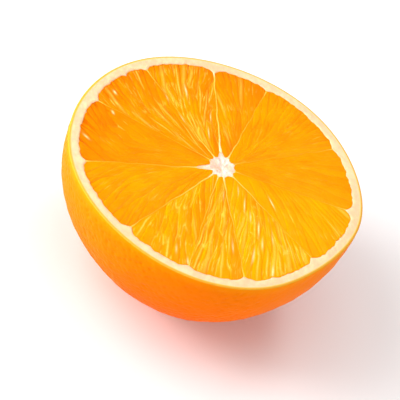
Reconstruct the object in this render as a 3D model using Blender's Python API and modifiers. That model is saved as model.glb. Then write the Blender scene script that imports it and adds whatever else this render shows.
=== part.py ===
"""Half of a sweet orange, cut across the middle and lying on its peel with the cut face up.

The half is one solid. Its peel is a slightly uneven dome with a small flat spot under it. Its cut face
shows uneven segments between raised membranes, a star-shaped core, and a ring of pith whose
points reach in between the segments. Row frame: +Z out of the cut face, origin on the floor under
the middle of the half.
"""
import math

import bpy
import numpy as np
from mathutils import Vector, noise

# Driving sizes of the whole half, in metres
FACE_RADIUS = 0.0390
DOME_DEPTH = 0.0374
REST_RADIUS = 0.0070
ZEST_WIDTH = 0.0009
PITH_WIDTH = 0.0020
CORE_RADIUS = 0.0032
CORE_CENTRE = Vector((0.0007, 0.0017, 0.0))
SCAR_DEPTH = 0.0007
SCAR_LIP_RADIUS = 0.0030
SCAR_FLOOR_RADIUS = 0.0018
SCAR_KNOB_HEIGHT = 0.0003

# Each membrane: its angle in degrees, how far the pith reaches in along it and the core out along it,
# both in metres, and how far it curls round the core, in degrees
MEMBRANES = (
    (12.0, 0.0019, 0.0006, -4.0),
    (47.0, 0.0008, 0.0008, 3.0),
    (86.0, 0.0011, 0.0012, -3.0),
    (110.0, 0.0017, 0.0024, 2.0),
    (141.0, 0.0012, 0.0005, 4.0),
    (174.0, 0.0015, 0.0006, -3.0),
    (211.0, 0.0014, 0.0042, 10.0),
    (248.0, 0.0017, 0.0011, 5.0),
    (276.0, 0.0010, 0.0009, -4.0),
    (299.0, 0.0016, 0.0005, -6.0),
    (334.5, 0.0014, 0.0008, 3.0),
)
MEMBRANE_WIDTH = 0.0009
CUSP_WIDTH = 0.0032
ARM_WIDTH = math.radians(9)

# Relief of the cut face: the flesh, core and membranes lie a little below the knife's plane, the
# flesh dips beside a membrane and swells in the middle of a segment, and its juice sacs stand out
FLESH_DROP = 0.00035
CORE_DROP = 0.00035
CORE_HOLLOW_DROP = 0.00070
CORE_HOLLOW_RADIUS = 0.00144
MEMBRANE_DROP = 0.00012
PITH_EDGE_DROP = 0.00010
GROOVE_DEPTH = 0.00025
SEGMENT_SWELL = 0.00035
SAC_RELIEF = 0.00040
SAC_LENGTH = 0.0055
SAC_STEP = 0.83
SEGMENT_STEP = 7.3
SWELL_POWER = 0.5
BORDER_FADE = 0.0040
FLESH_START = CORE_RADIUS + 0.0005
FLESH_END = 0.0358
PITH_START = 0.0363
RIM_ROUNDING = 0.00045
RIM_SHOULDER_DROP = 0.00005

# The peel isn't quite round: it has soft lobes, as shares of its radius with the angles of their tops
# in degrees, one side is pressed in, and the skin rises and falls gently
LOBES = ((5, 0.005, 66.0), (2, 0.004, 280.0))
FLAT_SIDE_ANGLE = 339.0
FLAT_SIDE_SPREAD = 25.0
FLAT_SIDE_DEPTH = 0.0019
FLAT_SIDE_POWER = 2.4
PEEL_WAVE_HEIGHT = 0.00045
PEEL_WAVE_LENGTH = 0.017
PEEL_WAVE_RIM_FADE = 0.010
PEEL_WAVE_REST_FADE = 0.004
OUTLINE_FADE_POWER = 0.5

# Mesh density, and how close two points have to be to count as one
COLUMNS_PER_SEGMENT = 12
FLESH_RINGS = 13
DOME_RINGS = 11
SAME_POINT = 0.00001

FLESH_RADIUS = FACE_RADIUS - ZEST_WIDTH - PITH_WIDTH
SEGMENTS = len(MEMBRANES)
COLUMNS = SEGMENTS * COLUMNS_PER_SEGMENT
FLAT_Z = -DOME_DEPTH * math.sqrt(1 - (REST_RADIUS / FACE_RADIUS) ** 2)


def clear_scene():
    """Remove what a new file holds."""
    for old in list(bpy.data.objects):
        bpy.data.objects.remove(old, do_unlink=True)


def material(name, colour, roughness):
    """A plain material of the part's own colour."""
    made = bpy.data.materials.new(name)
    made.use_nodes = True
    shader = made.node_tree.nodes["Principled BSDF"]
    shader.inputs["Base Color"].default_value = (*colour, 1.0)
    shader.inputs["Roughness"].default_value = roughness
    shader.inputs["Metallic"].default_value = 0.0
    made.diffuse_color = (*colour, 1.0)
    return made


def cut_face_profile():
    """Points from the middle of the core out to the edge of the peel, just under the knife's plane."""
    points = [(0.0, -CORE_HOLLOW_DROP), (CORE_HOLLOW_RADIUS, -CORE_DROP), (CORE_RADIUS, -CORE_DROP)]
    for ring in range(FLESH_RINGS):
        radius = FLESH_START + (FLESH_END - FLESH_START) * ring / (FLESH_RINGS - 1)
        points.append((radius, -FLESH_DROP))
    points.append((PITH_START, -PITH_EDGE_DROP))
    points.append((FLESH_RADIUS + PITH_WIDTH / 2, 0.0))
    points.append((FACE_RADIUS - ZEST_WIDTH, 0.0))
    points.append((FACE_RADIUS - RIM_ROUNDING, -RIM_SHOULDER_DROP))
    points.append((FACE_RADIUS, -RIM_ROUNDING))
    return points


def peel_profile():
    """Points down the dome of the peel to the flat spot, and in over the small scar at the pole."""
    flat_turn = math.acos(REST_RADIUS / FACE_RADIUS)
    points = []
    for ring in range(1, DOME_RINGS + 1):
        turn = flat_turn * ring / DOME_RINGS
        points.append((FACE_RADIUS * math.cos(turn), -DOME_DEPTH * math.sin(turn)))
    points.append((SCAR_LIP_RADIUS, FLAT_Z))
    points.append((SCAR_FLOOR_RADIUS, FLAT_Z + SCAR_DEPTH))
    points.append((0.0, FLAT_Z + SCAR_DEPTH - SCAR_KNOB_HEIGHT))
    return points


def turned_half():
    """The half as a lathe would turn it: the profile swept round the vertical axis, as a plain mesh."""
    points = cut_face_profile() + peel_profile()
    outline = bpy.data.meshes.new("orange_half_profile")
    outline.from_pydata([(x, 0.0, z) for x, z in points], [(i, i + 1) for i in range(len(points) - 1)], [])
    blank = bpy.data.objects.new("orange_half_blank", outline)
    bpy.context.scene.collection.objects.link(blank)
    screw = blank.modifiers.new("turn", "SCREW")
    screw.steps = COLUMNS
    screw.render_steps = COLUMNS
    screw.use_merge_vertices = True
    screw.merge_threshold = SAME_POINT
    evaluated = blank.evaluated_get(bpy.context.evaluated_depsgraph_get())
    mesh = bpy.data.meshes.new_from_object(evaluated)
    bpy.data.objects.remove(blank, do_unlink=True)
    return mesh


def paint_zones(mesh):
    """Give each face of the turned blank its material: 0 peel, 1 pith and core, 2 flesh."""
    for face in mesh.polygons:
        radius = Vector(face.center[:2]).length
        on_cut = face.center.z > -RIM_ROUNDING
        if on_cut and radius < CORE_RADIUS:
            face.material_index = 1
        elif on_cut and radius < FLESH_RADIUS:
            face.material_index = 2
        elif on_cut and radius < FACE_RADIUS - ZEST_WIDTH:
            face.material_index = 1
        else:
            face.material_index = 0


def segment_span(segment):
    """Angles of the membranes on both sides of a segment, in radians."""
    start = MEMBRANES[segment][0]
    end = MEMBRANES[(segment + 1) % SEGMENTS][0]
    if end < start:
        end += 360.0
    return math.radians(start), math.radians(end)


def angle_gap(a, b):
    """The smaller angle between two directions, in radians."""
    return abs((a - b + math.pi) % math.tau - math.pi)


def column_angle(column, radius):
    """Where a column of the mesh lies: over the flesh, the columns beside a membrane hug it."""
    segment, step = divmod(column, COLUMNS_PER_SEGMENT)
    start, end = segment_span(segment)
    even = start + (end - start) * step / COLUMNS_PER_SEGMENT
    if step == 0 or radius < CORE_RADIUS - SAME_POINT:
        return even
    edge = MEMBRANE_WIDTH / 2 / radius
    hugging = start + edge + (end - start - 2 * edge) * (step - 1) / (COLUMNS_PER_SEGMENT - 2)
    rim_share = np.interp(radius, (FLESH_RADIUS, FACE_RADIUS - ZEST_WIDTH), (0.0, 1.0))
    return hugging + (even - hugging) * rim_share


def outline_factor(angle):
    """How far the outline stands out in a direction, as a share of the round outline."""
    pressed = angle_gap(angle, math.radians(FLAT_SIDE_ANGLE)) / math.radians(FLAT_SIDE_SPREAD)
    lobes = sum(height * math.cos(count * (angle - math.radians(top))) for count, height, top in LOBES)
    return 1.0 + lobes - FLAT_SIDE_DEPTH / FACE_RADIUS * math.exp(-pressed ** FLAT_SIDE_POWER)


def flesh_edge(angle):
    """Outer edge of the flesh: the pith reaches in to a point at each membrane."""
    edge = FLESH_RADIUS
    for membrane_angle, cusp, _, _ in MEMBRANES:
        offset = angle_gap(angle, math.radians(membrane_angle)) * FLESH_RADIUS / CUSP_WIDTH
        edge -= cusp * max(0.0, 1.0 - offset) ** 2
    return edge * outline_factor(angle)


def core_edge(angle):
    """Edge of the core: a short pale arm runs out along each membrane."""
    edge = CORE_RADIUS
    for membrane_angle, _, arm, _ in MEMBRANES:
        offset = angle_gap(angle, math.radians(membrane_angle)) / ARM_WIDTH
        edge += arm * math.exp(-offset ** 2)
    return edge


def curl(column, radius):
    """How far a column turns as the membranes curl round the core, in radians; none at the pith."""
    segment, step = divmod(column, COLUMNS_PER_SEGMENT)
    here = MEMBRANES[segment][3]
    ahead = MEMBRANES[(segment + 1) % SEGMENTS][3]
    share = max(0.0, 1.0 - radius / FLESH_RADIUS) ** 3
    return math.radians(here + (ahead - here) * step / COLUMNS_PER_SEGMENT) * share


def flesh_relief(column, radius):
    """Height of the flesh over its own level: a swollen segment with long juice sacs, or a membrane."""
    segment, step = divmod(column, COLUMNS_PER_SEGMENT)
    if step == 0:
        return FLESH_DROP - MEMBRANE_DROP
    border = min(radius - CORE_RADIUS, FLESH_RADIUS - radius)
    fade = min(1.0, border / BORDER_FADE)
    across = (step - 1) / (COLUMNS_PER_SEGMENT - 2)
    bulge = math.sin(math.pi * across) ** SWELL_POWER
    along = radius / SAC_LENGTH
    sacs = SAC_RELIEF * noise.noise(Vector((column * SAC_STEP, along, segment * SEGMENT_STEP)))
    return fade * ((GROOVE_DEPTH + SEGMENT_SWELL) * bulge - GROOVE_DEPTH + sacs * min(1.0, 2 * bulge))


def peel_wave(place):
    """Gentle rise and fall of the skin, none at the rim or at the flat spot."""
    from_rim = min(1.0, -place.z / PEEL_WAVE_RIM_FADE)
    from_rest = min(1.0, (place.z - FLAT_Z) / PEEL_WAVE_REST_FADE)
    return PEEL_WAVE_HEIGHT * from_rim * from_rest * noise.noise(place / PEEL_WAVE_LENGTH)


def place_on_cut(column, radius, height):
    """Where a point of the turned cut face lies on the real one."""
    angle = column_angle(column, radius)
    real_radius = np.interp(
        radius,
        (0.0, CORE_RADIUS, FLESH_RADIUS, FACE_RADIUS),
        (0.0, core_edge(angle), flesh_edge(angle), FACE_RADIUS * outline_factor(angle)),
    )
    in_flesh = CORE_RADIUS + SAME_POINT < radius < FLESH_RADIUS
    if in_flesh:
        height += flesh_relief(column, radius)
    shift = CORE_CENTRE * max(0.0, 1.0 - real_radius / FLESH_RADIUS)
    turned = angle + curl(column, real_radius)
    return Vector((real_radius * math.cos(turned), real_radius * math.sin(turned), height)) + shift


def place_on_peel(column, radius, height):
    """Where a point of the turned dome lies on the real peel."""
    angle = column_angle(column, FACE_RADIUS)
    fade = np.interp(height, (FLAT_Z, 0.0), (0.0, 1.0)) ** OUTLINE_FADE_POWER
    real_radius = radius * (1.0 + (outline_factor(angle) - 1.0) * fade)
    place = Vector((real_radius * math.cos(angle), real_radius * math.sin(angle), height))
    if height > FLAT_Z + SAME_POINT and radius > REST_RADIUS + SAME_POINT:
        place += place.normalized() * peel_wave(place)
    return place


def shape_half(mesh):
    """Move each point of the turned blank to its natural place, then stand the half on the floor."""
    for vertex in mesh.vertices:
        radius = vertex.co.xy.length
        angle = math.atan2(vertex.co.y, vertex.co.x)
        column = round(angle / math.tau * COLUMNS) % COLUMNS
        if vertex.co.z > -2 * RIM_ROUNDING:
            vertex.co = place_on_cut(column, radius, vertex.co.z)
        else:
            vertex.co = place_on_peel(column, radius, vertex.co.z)
    low = Vector([min(v.co[axis] for v in mesh.vertices) for axis in range(3)])
    high = Vector([max(v.co[axis] for v in mesh.vertices) for axis in range(3)])
    middle = (low + high) / 2
    for vertex in mesh.vertices:
        vertex.co -= Vector((middle.x, middle.y, low.z))


def orange_half(collection):
    """The whole half as one named object, with the colours of peel, pith and flesh."""
    mesh = turned_half()
    mesh.name = "orange_half"
    for finish in (
        material("peel", (0.95, 0.26, 0.010), 0.45),
        material("pith", (0.93, 0.80, 0.58), 0.60),
        material("flesh", (1.0, 0.38, 0.005), 0.30),
    ):
        mesh.materials.append(finish)
    paint_zones(mesh)
    shape_half(mesh)
    mesh.shade_smooth()
    half = bpy.data.objects.new("orange_half", mesh)
    collection.objects.link(half)
    return half


clear_scene()
parts = bpy.data.collections.new("orange_half")
bpy.context.scene.collection.children.link(parts)
orange_half(parts)
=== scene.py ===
"""Looks of half a sweet orange, cut across the middle and lying on its peel with the cut face up.

Sizes are in metres. The half is laid out round its own middle with the knife's plane at z = 0, and
rest() moves finished points to where the half rests on the table.
"""
import math
import random

import bpy
import numpy as np
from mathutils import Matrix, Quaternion, Vector, geometry, kdtree, noise


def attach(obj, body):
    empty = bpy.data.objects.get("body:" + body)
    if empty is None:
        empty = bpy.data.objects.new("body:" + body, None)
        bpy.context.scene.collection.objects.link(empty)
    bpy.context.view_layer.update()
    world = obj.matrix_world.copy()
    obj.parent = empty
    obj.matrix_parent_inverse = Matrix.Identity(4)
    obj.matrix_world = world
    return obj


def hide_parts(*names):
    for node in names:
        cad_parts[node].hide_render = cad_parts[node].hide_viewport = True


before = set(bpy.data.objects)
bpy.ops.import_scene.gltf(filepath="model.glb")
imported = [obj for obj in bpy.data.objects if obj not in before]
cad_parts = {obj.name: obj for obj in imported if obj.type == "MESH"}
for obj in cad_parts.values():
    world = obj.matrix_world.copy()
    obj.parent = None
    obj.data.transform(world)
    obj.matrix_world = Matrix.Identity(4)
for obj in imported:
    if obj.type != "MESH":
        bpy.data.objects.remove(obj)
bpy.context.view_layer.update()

# Peel: the skin of the fruit, waxy and orange with small oil pores, and a thin yellow edge where the
# knife went through it. It's one skin just under a millimetre thick, grown onto the pith all over.
# The half rests on it, on a small flat spot.
FACE_RADIUS = 0.0390
DOME_DEPTH = 0.0374
REST_RADIUS = 0.0070
ZEST_WIDTH = 0.0009
RIM_ROUNDING = 0.00045
SCAR_LIP_RADIUS = 0.0030
SCAR_FLOOR_RADIUS = 0.0018
SCAR_DEPTH = 0.0007
SCAR_STEPS = 8
SCAR_POINTS = 48
# Soft lobes of the outline: how many, their height in radii, and the angle of one's top
LOBES = ((5, 0.005, 66), (2, 0.004, 280))
OUTLINE_FADE_POWER = 0.5
FLAT_SIDE_ANGLE = 339
FLAT_SIDE_SPREAD = 25
FLAT_SIDE_DEPTH = 0.0019
FLAT_SIDE_POWER = 2.4
WAVE_HEIGHT = 0.00045
WAVE_LENGTH = 0.017
WAVE_RIM_FADE = 0.010
WAVE_REST_FADE = 0.004
PEEL_SPACING = 0.00036
FEWEST_POINTS = 12
ROUNDING_STEPS = 5
SHARP_ANGLE = math.radians(50)
PORE_SEED = 11
PORE_SPACING = 0.00155
PORE_JITTER = 0.35
PORE_RADIUS = 0.00042
PORE_DEPTH = 0.00015
PORE_SIZES = (0.55, 1.15)
PORE_RIM_FADE = 0.0015
POLE_RADIUS = 0.001
PEBBLE_HEIGHT = 0.00011
PEBBLE_LENGTH = 0.0021
FLAT_Z = -DOME_DEPTH * math.sqrt(1 - (REST_RADIUS / FACE_RADIUS) ** 2)
# The peel's inner side, which the pith fills: rings of coarser points, level over the scar
INNER_SPACING = 0.0024
INNER_RINGS = 26
INNER_TURN = math.radians(88)
INNER_FLOOR_Z = FLAT_Z + 2.2 * SCAR_DEPTH
EDGE_DEPTHS = (0.0012, 0.0003)
LIP_DEPTH = 0.00002
CUT_DEPTH = 0.0004
# Heights above the table between which the colour changes: at the underside, where the painted shade
# gives way to a plainer orange, and under the rim, for a band of painted light
UNDERSIDE = (0.001, 0.011)
PAINTED_RIM_LIGHT_HEIGHTS = (0.0335, 0.0372)
# Height above the table up to which painted shade deepens the skin's orange
PAINTED_SHADE_TOP = 0.034
PEEL_ORANGE = (0.97, 0.175, 0, 1)
PEEL_LIGHT = (0.98, 0.225, 0, 1)
# Painted shade: the deep red-orange that darkens the skin down the dome
PEEL_PAINTED_SHADE = (0.94, 0.078, 0, 1)
PEEL_UNDERSIDE = (0.96, 0.21, 0, 1)
# Painted light: the yellower orange of the band just under the rim
PEEL_PAINTED_RIM_LIGHT = (0.98, 0.31, 0, 1)
PEEL_PORE = (0.80, 0.115, 0, 1)
# The cut zest's outer line: its own deeper gold, darkened further with painted shade
ZEST_GOLD_AND_SHADE = (0.80, 0.39, 0.04, 1)
ZEST_PALE = (0.95, 0.68, 0.30, 1)


def angle_gap(a, b):
    """The smaller angle between two directions, in radians."""
    return np.abs((a - b + math.pi) % math.tau - math.pi)


def outline_factor(angle):
    """How far the outline stands out in a direction, as a share of the round outline."""
    pressed = angle_gap(angle, math.radians(FLAT_SIDE_ANGLE)) / math.radians(FLAT_SIDE_SPREAD)
    lobes = sum(height * np.cos(count * (angle - math.radians(top))) for count, height, top in LOBES)
    return 1.0 + lobes - FLAT_SIDE_DEPTH / FACE_RADIUS * np.exp(-pressed ** FLAT_SIDE_POWER)


def even_angles(count):
    """Evenly spaced angles round the half, in radians."""
    return np.arange(count) * math.tau / count


def spaced_angles(radius, spacing):
    """Evenly spaced angles, about a spacing apart at a radius."""
    return even_angles(max(FEWEST_POINTS, round(math.tau * radius / spacing)))


def polar(angle, radius, z):
    """Points at angles and radii, all at height z or each at its own."""
    angle, radius, z = np.broadcast_arrays(angle, radius, z)
    return np.stack((radius * np.cos(angle), radius * np.sin(angle), z), axis=-1).astype(float)


def dome_ring(turn, inset, spacing):
    """A ring of points on the dome at a turn down from the rim, as far in as the inset."""
    radius = (FACE_RADIUS - inset) * math.cos(turn)
    angle = spaced_angles(radius, spacing)
    z = max(-(DOME_DEPTH - inset) * math.sin(turn), FLAT_Z)
    fade = ((z - FLAT_Z) / -FLAT_Z) ** OUTLINE_FADE_POWER
    return polar(angle, radius * (1 + (outline_factor(angle) - 1) * fade), z)


def flat_ring(radius, z, spacing):
    """A level ring of points that follows the half's outline."""
    angle = spaced_angles(radius, spacing)
    return polar(angle, radius * outline_factor(angle), z)


def inner_ring(step):
    """A ring of points where the peel and the pith meet, so many steps down from the rim."""
    ring = dome_ring(INNER_TURN * step / INNER_RINGS, ZEST_WIDTH, INNER_SPACING)
    ring[:, 2] = np.maximum(ring[:, 2], INNER_FLOOR_Z)
    return ring


def stitched(rings):
    """Triangles between neighbouring closed rings, and the first and the last ring closed with a fan
    onto the two points that come after all the rings."""
    counts = [len(ring) for ring in rings]
    faces = []
    first = 0
    for near, far in zip(counts, counts[1:]):
        second = first + near
        i = j = 0
        while i < near or j < far:
            a, b = first + i % near, second + j % far
            if j == far or (i < near and (i + 1) * far <= (j + 1) * near):
                faces.append((a, b, first + (i + 1) % near))
                i += 1
            else:
                faces.append((a, b, second + (j + 1) % far))
                j += 1
        first = second
    total = sum(counts)
    last = total - counts[-1]
    faces += [(total, i, (i + 1) % counts[0]) for i in range(counts[0])]
    faces += [(total + 1, last + (i + 1) % counts[-1], last + i) for i in range(counts[-1])]
    return faces


def rest(points):
    """Points of the half where it rests on the table, with its bounding box over the origin."""
    outline = flat_ring(FACE_RADIUS, 0.0, PEEL_SPACING)
    middle = (outline.min(axis=0) + outline.max(axis=0)) / 2
    return points - middle - np.array((0.0, 0.0, FLAT_Z))


def new_piece(name, points, faces, **values):
    """A smooth closed mesh where the half rests, with named values stored on its points."""
    mesh = bpy.data.meshes.new(name)
    mesh.from_pydata(rest(points), [], faces)
    mesh.shade_smooth()
    mesh.set_sharp_from_angle(angle=SHARP_ANGLE)
    for title, numbers in values.items():
        stored = mesh.attributes.new(title, "FLOAT", "POINT")
        stored.data.foreach_set("value", np.asarray(numbers, np.float32))
    piece = bpy.data.objects.new(name, mesh)
    bpy.context.scene.collection.objects.link(piece)
    return piece


class Shade:
    """A value in a material. Signs of arithmetic on it add Math nodes, and add() any other node."""

    def __init__(self, tree, socket=None):
        self.tree = tree
        self.socket = socket

    def feed(self, node, sockets):
        """Feed a node's sockets, each with a value or a Shade."""
        for name, value in sockets.items():
            if isinstance(value, Shade):
                self.tree.links.new(value.socket, node.inputs[name])
            else:
                node.inputs[name].default_value = value

    def add(self, kind, settings, sockets, output=0):
        """A new node of a kind, with its settings first and then its sockets."""
        node = self.tree.nodes.new(kind)
        for name, value in settings.items():
            setattr(node, name, value)
        self.feed(node, sockets)
        return Shade(self.tree, node.outputs[output])

    def math(self, kind, *values):
        """The result of a Math node."""
        return self.add("ShaderNodeMath", {"operation": kind}, dict(enumerate(values)))

    def __add__(self, other):
        return self.math("ADD", self, other)

    def __mul__(self, other):
        return self.math("MULTIPLY", self, other)

    def __sub__(self, other):
        return self.math("SUBTRACT", self, other)

    def __rsub__(self, other):
        return self.math("SUBTRACT", other, self)

    __radd__ = __add__
    __rmul__ = __mul__

    def limited(self):
        """The value kept between 0 and 1."""
        return self.add("ShaderNodeClamp", {}, {0: self})

    def between(self, low, high):
        """0 below low, 1 above high, and a smooth step between them."""
        sockets = {0: self, 1: low, 2: high}
        return self.add("ShaderNodeMapRange", {"interpolation_type": "SMOOTHSTEP"}, sockets)

    def stored(self, name):
        """A value that the piece's points carry."""
        return self.add("ShaderNodeAttribute", {"attribute_name": name}, {}, 2)

    def mix(self, share, low, high):
        """Two colours mixed by a share."""
        return self.add("ShaderNodeMix", {"data_type": "RGBA"}, {0: share, 6: low, 7: high}, 2)

    def place(self):
        """Where a point is, in metres."""
        return self.add("ShaderNodeTexCoord", {}, {}, 3)

    def height(self):
        """How far a point is above the table, in metres."""
        return self.add("ShaderNodeSeparateXYZ", {}, {0: self.place()}, 2)

    def cloud(self, lumps, detail):
        """Soft noise from 0 to 1, of so many lumps to a metre."""
        sockets = {"Vector": self.place(), "Scale": lumps, "Detail": detail}
        return self.add("ShaderNodeTexNoise", {}, sockets)

    def bump(self, strength, distance, height):
        """Fine relief for a shader's normal: a height from 0 to 1 over a distance in metres."""
        sockets = {"Strength": strength, "Distance": distance, "Height": height}
        return self.add("ShaderNodeBump", {}, sockets)


def new_material(name):
    """A new material, and a Shade to build values with."""
    made = bpy.data.materials.new(name)
    made.use_nodes = True
    return made, Shade(made.node_tree)


def finished(made, **sockets):
    """The material, once its shader has what feeds it."""
    shader = made.node_tree.nodes["Principled BSDF"]
    Shade(made.node_tree).feed(shader, {name.replace("_", " "): sockets[name] for name in sockets})
    return made


def peel_pores():
    """A search tree of the oil pores, nearly evenly spread over the dome, and their sizes."""
    chance = random.Random(PORE_SEED)
    count = round(math.tau * FACE_RADIUS ** 2 / PORE_SPACING ** 2)
    tree = kdtree.KDTree(count)
    for i in range(count):
        down = (i + 0.5) / count
        turn = math.asin(down) + chance.uniform(-PORE_JITTER, PORE_JITTER) * PORE_SPACING / FACE_RADIUS
        radius = FACE_RADIUS * math.cos(turn)
        aside = chance.uniform(-PORE_JITTER, PORE_JITTER) * PORE_SPACING / max(radius, POLE_RADIUS)
        angle = i * math.pi * (3 - math.sqrt(5)) + aside
        where = (radius * math.cos(angle), radius * math.sin(angle), -DOME_DEPTH * math.sin(turn))
        tree.insert(where, i)
    tree.balance()
    return tree, [chance.uniform(*PORE_SIZES) for _ in range(count)]


def skin_height(place, pores, sizes):
    """How far the skin stands out at a place, and how deep in a pore it is from 0 to 1."""
    from_rim = min(1.0, max(0.0, -place.z / WAVE_RIM_FADE))
    from_rest = min(1.0, max(0.0, (place.z - FLAT_Z) / WAVE_REST_FADE))
    wave = WAVE_HEIGHT * noise.noise(place / WAVE_LENGTH)
    _, index, distance = pores.find(place)
    pore = math.exp(-(distance / (PORE_RADIUS * sizes[index])) ** 2)
    pebble = PEBBLE_HEIGHT * noise.noise(place / PEBBLE_LENGTH)
    fine = min(1.0, max(0.0, -place.z / PORE_RIM_FADE))
    height = wave * from_rim * from_rest + (pebble - PORE_DEPTH * sizes[index] * pore) * fine * from_rest
    return height, pore * fine


def peel_rings():
    """Rings of the peel: of its inner side and cut edge, of its skin, and of the flat spot and scar."""
    rings = [inner_ring(step) for step in range(INNER_RINGS, 0, -1)]
    for depth in EDGE_DEPTHS:
        rings.append(flat_ring(FACE_RADIUS - ZEST_WIDTH, -depth, 2 * PEEL_SPACING))
    rings.append(flat_ring(FACE_RADIUS - ZEST_WIDTH, -LIP_DEPTH, PEEL_SPACING))
    rings.append(flat_ring(FACE_RADIUS - (ZEST_WIDTH + RIM_ROUNDING) / 2, 0.0, PEEL_SPACING))
    for k in range(ROUNDING_STEPS + 1):
        turn = math.radians(90 - 90 * k / ROUNDING_STEPS)
        radius = FACE_RADIUS - RIM_ROUNDING * (1 - math.cos(turn))
        rings.append(flat_ring(radius, -RIM_ROUNDING * (1 - math.sin(turn)), PEEL_SPACING))
    rim_turn = math.asin(RIM_ROUNDING / DOME_DEPTH)
    flat_turn = math.acos(REST_RADIUS / FACE_RADIUS)
    steps = round((flat_turn - rim_turn) * FACE_RADIUS / PEEL_SPACING)
    turns = [rim_turn + (flat_turn - rim_turn) * k / steps for k in range(1, steps + 1)]
    skin = [dome_ring(turn, 0.0, PEEL_SPACING) for turn in turns]
    level = [
        polar(spaced_angles(radius, PEEL_SPACING), radius, FLAT_Z)
        for radius in np.arange(REST_RADIUS - PEEL_SPACING, SCAR_LIP_RADIUS, -PEEL_SPACING)
    ]
    hollow = []
    for k in range(SCAR_STEPS + 1):
        share = k / SCAR_STEPS
        radius = SCAR_LIP_RADIUS + (SCAR_FLOOR_RADIUS - SCAR_LIP_RADIUS) * share
        z = FLAT_Z + SCAR_DEPTH * (0.5 - 0.5 * math.cos(math.pi * share))
        hollow.append(polar(even_angles(SCAR_POINTS), radius, z))
    return rings, skin, level + hollow


def peel_piece():
    """The whole skin, with waves, pebbles and pores."""
    inside, skin, below = peel_rings()
    pores, sizes = peel_pores()
    rings = inside + skin + below
    points = np.concatenate(rings + [[(0, 0, INNER_FLOOR_Z)], [(0, 0, FLAT_Z + SCAR_DEPTH)]])
    pore_depth = np.zeros(len(points))
    start = sum(len(ring) for ring in inside)
    end = start + sum(len(ring) for ring in skin)
    for i in range(start, end):
        place = Vector(points[i])
        height, pore_depth[i] = skin_height(place, pores, sizes)
        points[i] += np.array(place.normalized() * height)
    cut = np.zeros(len(points))
    x, y, z = points[:start].T
    inward = FACE_RADIUS - np.hypot(x, y) / outline_factor(np.arctan2(y, x))
    cut[:start] = np.where(z > -CUT_DEPTH, np.clip(inward / ZEST_WIDTH, 0, 1), 0)
    return new_piece("peel", points, stitched(rings), cut=cut, pore=pore_depth)


def peel_material():
    """Waxy skin with a golden cut edge; painted light yellows it under the rim, painted shade deepens it
    down the dome.
    """
    made, make = new_material("peel")
    patches = make.cloud(lumps=55, detail=3)
    grain = make.cloud(lumps=1400, detail=3)
    pebbles = make.cloud(lumps=620, detail=2)
    pore = make.stored("pore")
    # Painted shade: towards the table the skin's orange deepens to red, standing in for shade under the
    # half
    down = (1.0 - make.height() * (1 / PAINTED_SHADE_TOP)).limited()
    colour = make.mix(patches, PEEL_ORANGE, PEEL_LIGHT)
    colour = make.mix(down * 0.85, colour, PEEL_PAINTED_SHADE)
    # The underside near the table goes back to a plainer orange, where the painted shade stops
    underside = 1.0 - make.height().between(*UNDERSIDE)
    colour = make.mix(underside * 0.8, colour, PEEL_UNDERSIDE)
    # Painted light: a yellower band just under the rim, where the rounded rim catches light and lets it
    # through
    painted_rim_light = make.height().between(*PAINTED_RIM_LIGHT_HEIGHTS)
    colour = make.mix(painted_rim_light * 0.6, colour, PEEL_PAINTED_RIM_LIGHT)
    colour = make.mix(pore * 0.12, colour, PEEL_PORE)
    cut = make.stored("cut")
    # The outer line of the cut zest: its own gold, partly darkened with painted shade
    colour = make.mix(cut.between(0.0, 0.15), colour, ZEST_GOLD_AND_SHADE)
    colour = make.mix(cut.between(0.45, 0.95), colour, ZEST_PALE)
    lumps = pebbles * 0.7 + grain * 0.25 - pore * 0.3
    return finished(
        made,
        Base_Color=colour,
        Roughness=grain * 0.12 + 0.40,
        Normal=make.bump(strength=0.7, distance=0.0003, height=lumps),
        IOR=1.42,
        Specular_IOR_Level=0.025,
        Specular_Tint=(1.0, 0.62, 0.18, 1),
        Subsurface_Weight=0.18,
        Subsurface_Radius=(1.0, 0.32, 0.05),
        Subsurface_Scale=0.0015,
    )


peel = peel_piece()
peel.data.materials.append(peel_material())
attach(peel, "root")
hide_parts("orange_half")

# Pith: the soft cream layer between skin and flesh, spongy and matt, that shows as a pale ring on the
# cut face. It's grown onto the peel outside, and reaches in to a point at each membrane.
PITH_WIDTH = 0.0020
FLESH_RADIUS = FACE_RADIUS - ZEST_WIDTH - PITH_WIDTH
BOWL_DEPTH = DOME_DEPTH - ZEST_WIDTH - PITH_WIDTH
CORE_CENTRE = np.array((0.0007, 0.0017, 0.0))
CUSP_WIDTH = 0.0032
# Each membrane: angle in degrees, how far the pith reaches in and the core out along it, in metres,
# how far it curls round the core, in degrees, and how pale it shows near the core and near the pith
MEMBRANES = (
    (12, 0.0019, 0.0006, -4, 0.05, 0.25),
    (47, 0.0008, 0.0008, 3, 0.10, 0.20),
    (86, 0.0011, 0.0012, -3, 0.65, 0.20),
    (110, 0.0017, 0.0024, 2, 1.50, 0.95),
    (141, 0.0012, 0.0005, 4, 0.55, 0.30),
    (174, 0.0015, 0.0006, -3, 0.15, 0.20),
    (211, 0.0014, 0.0042, 10, 0.45, 0.30),
    (248, 0.0017, 0.0011, 5, 1.00, 0.15),
    (276, 0.0010, 0.0009, -4, 0.60, 0.30),
    (299, 0.0016, 0.0005, -6, 0.85, 0.35),
    (334.5, 0.0014, 0.0008, 3, 0.70, 0.10),
)
# Small extra points of the pith between the membranes: reach in metres at an angle in degrees
PITH_POINTS = {32: 0.0005, 63: 0.0004, 152: 0.0006, 228: 0.0004, 259: 0.0005, 311: 0.0005, 352: 0.0006}
PITH_POINT_WIDTH = 0.0016
# Fine waves of the pith's inner edge: how many go round the half, their start and height
PITH_RIPPLES = ((41, 1.0, 0.00007), (67, 2.1, 0.00007), (103, 0.7, 0.00006), (149, 4.0, 0.00004))
PITH_SPACING = 0.00042
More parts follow.
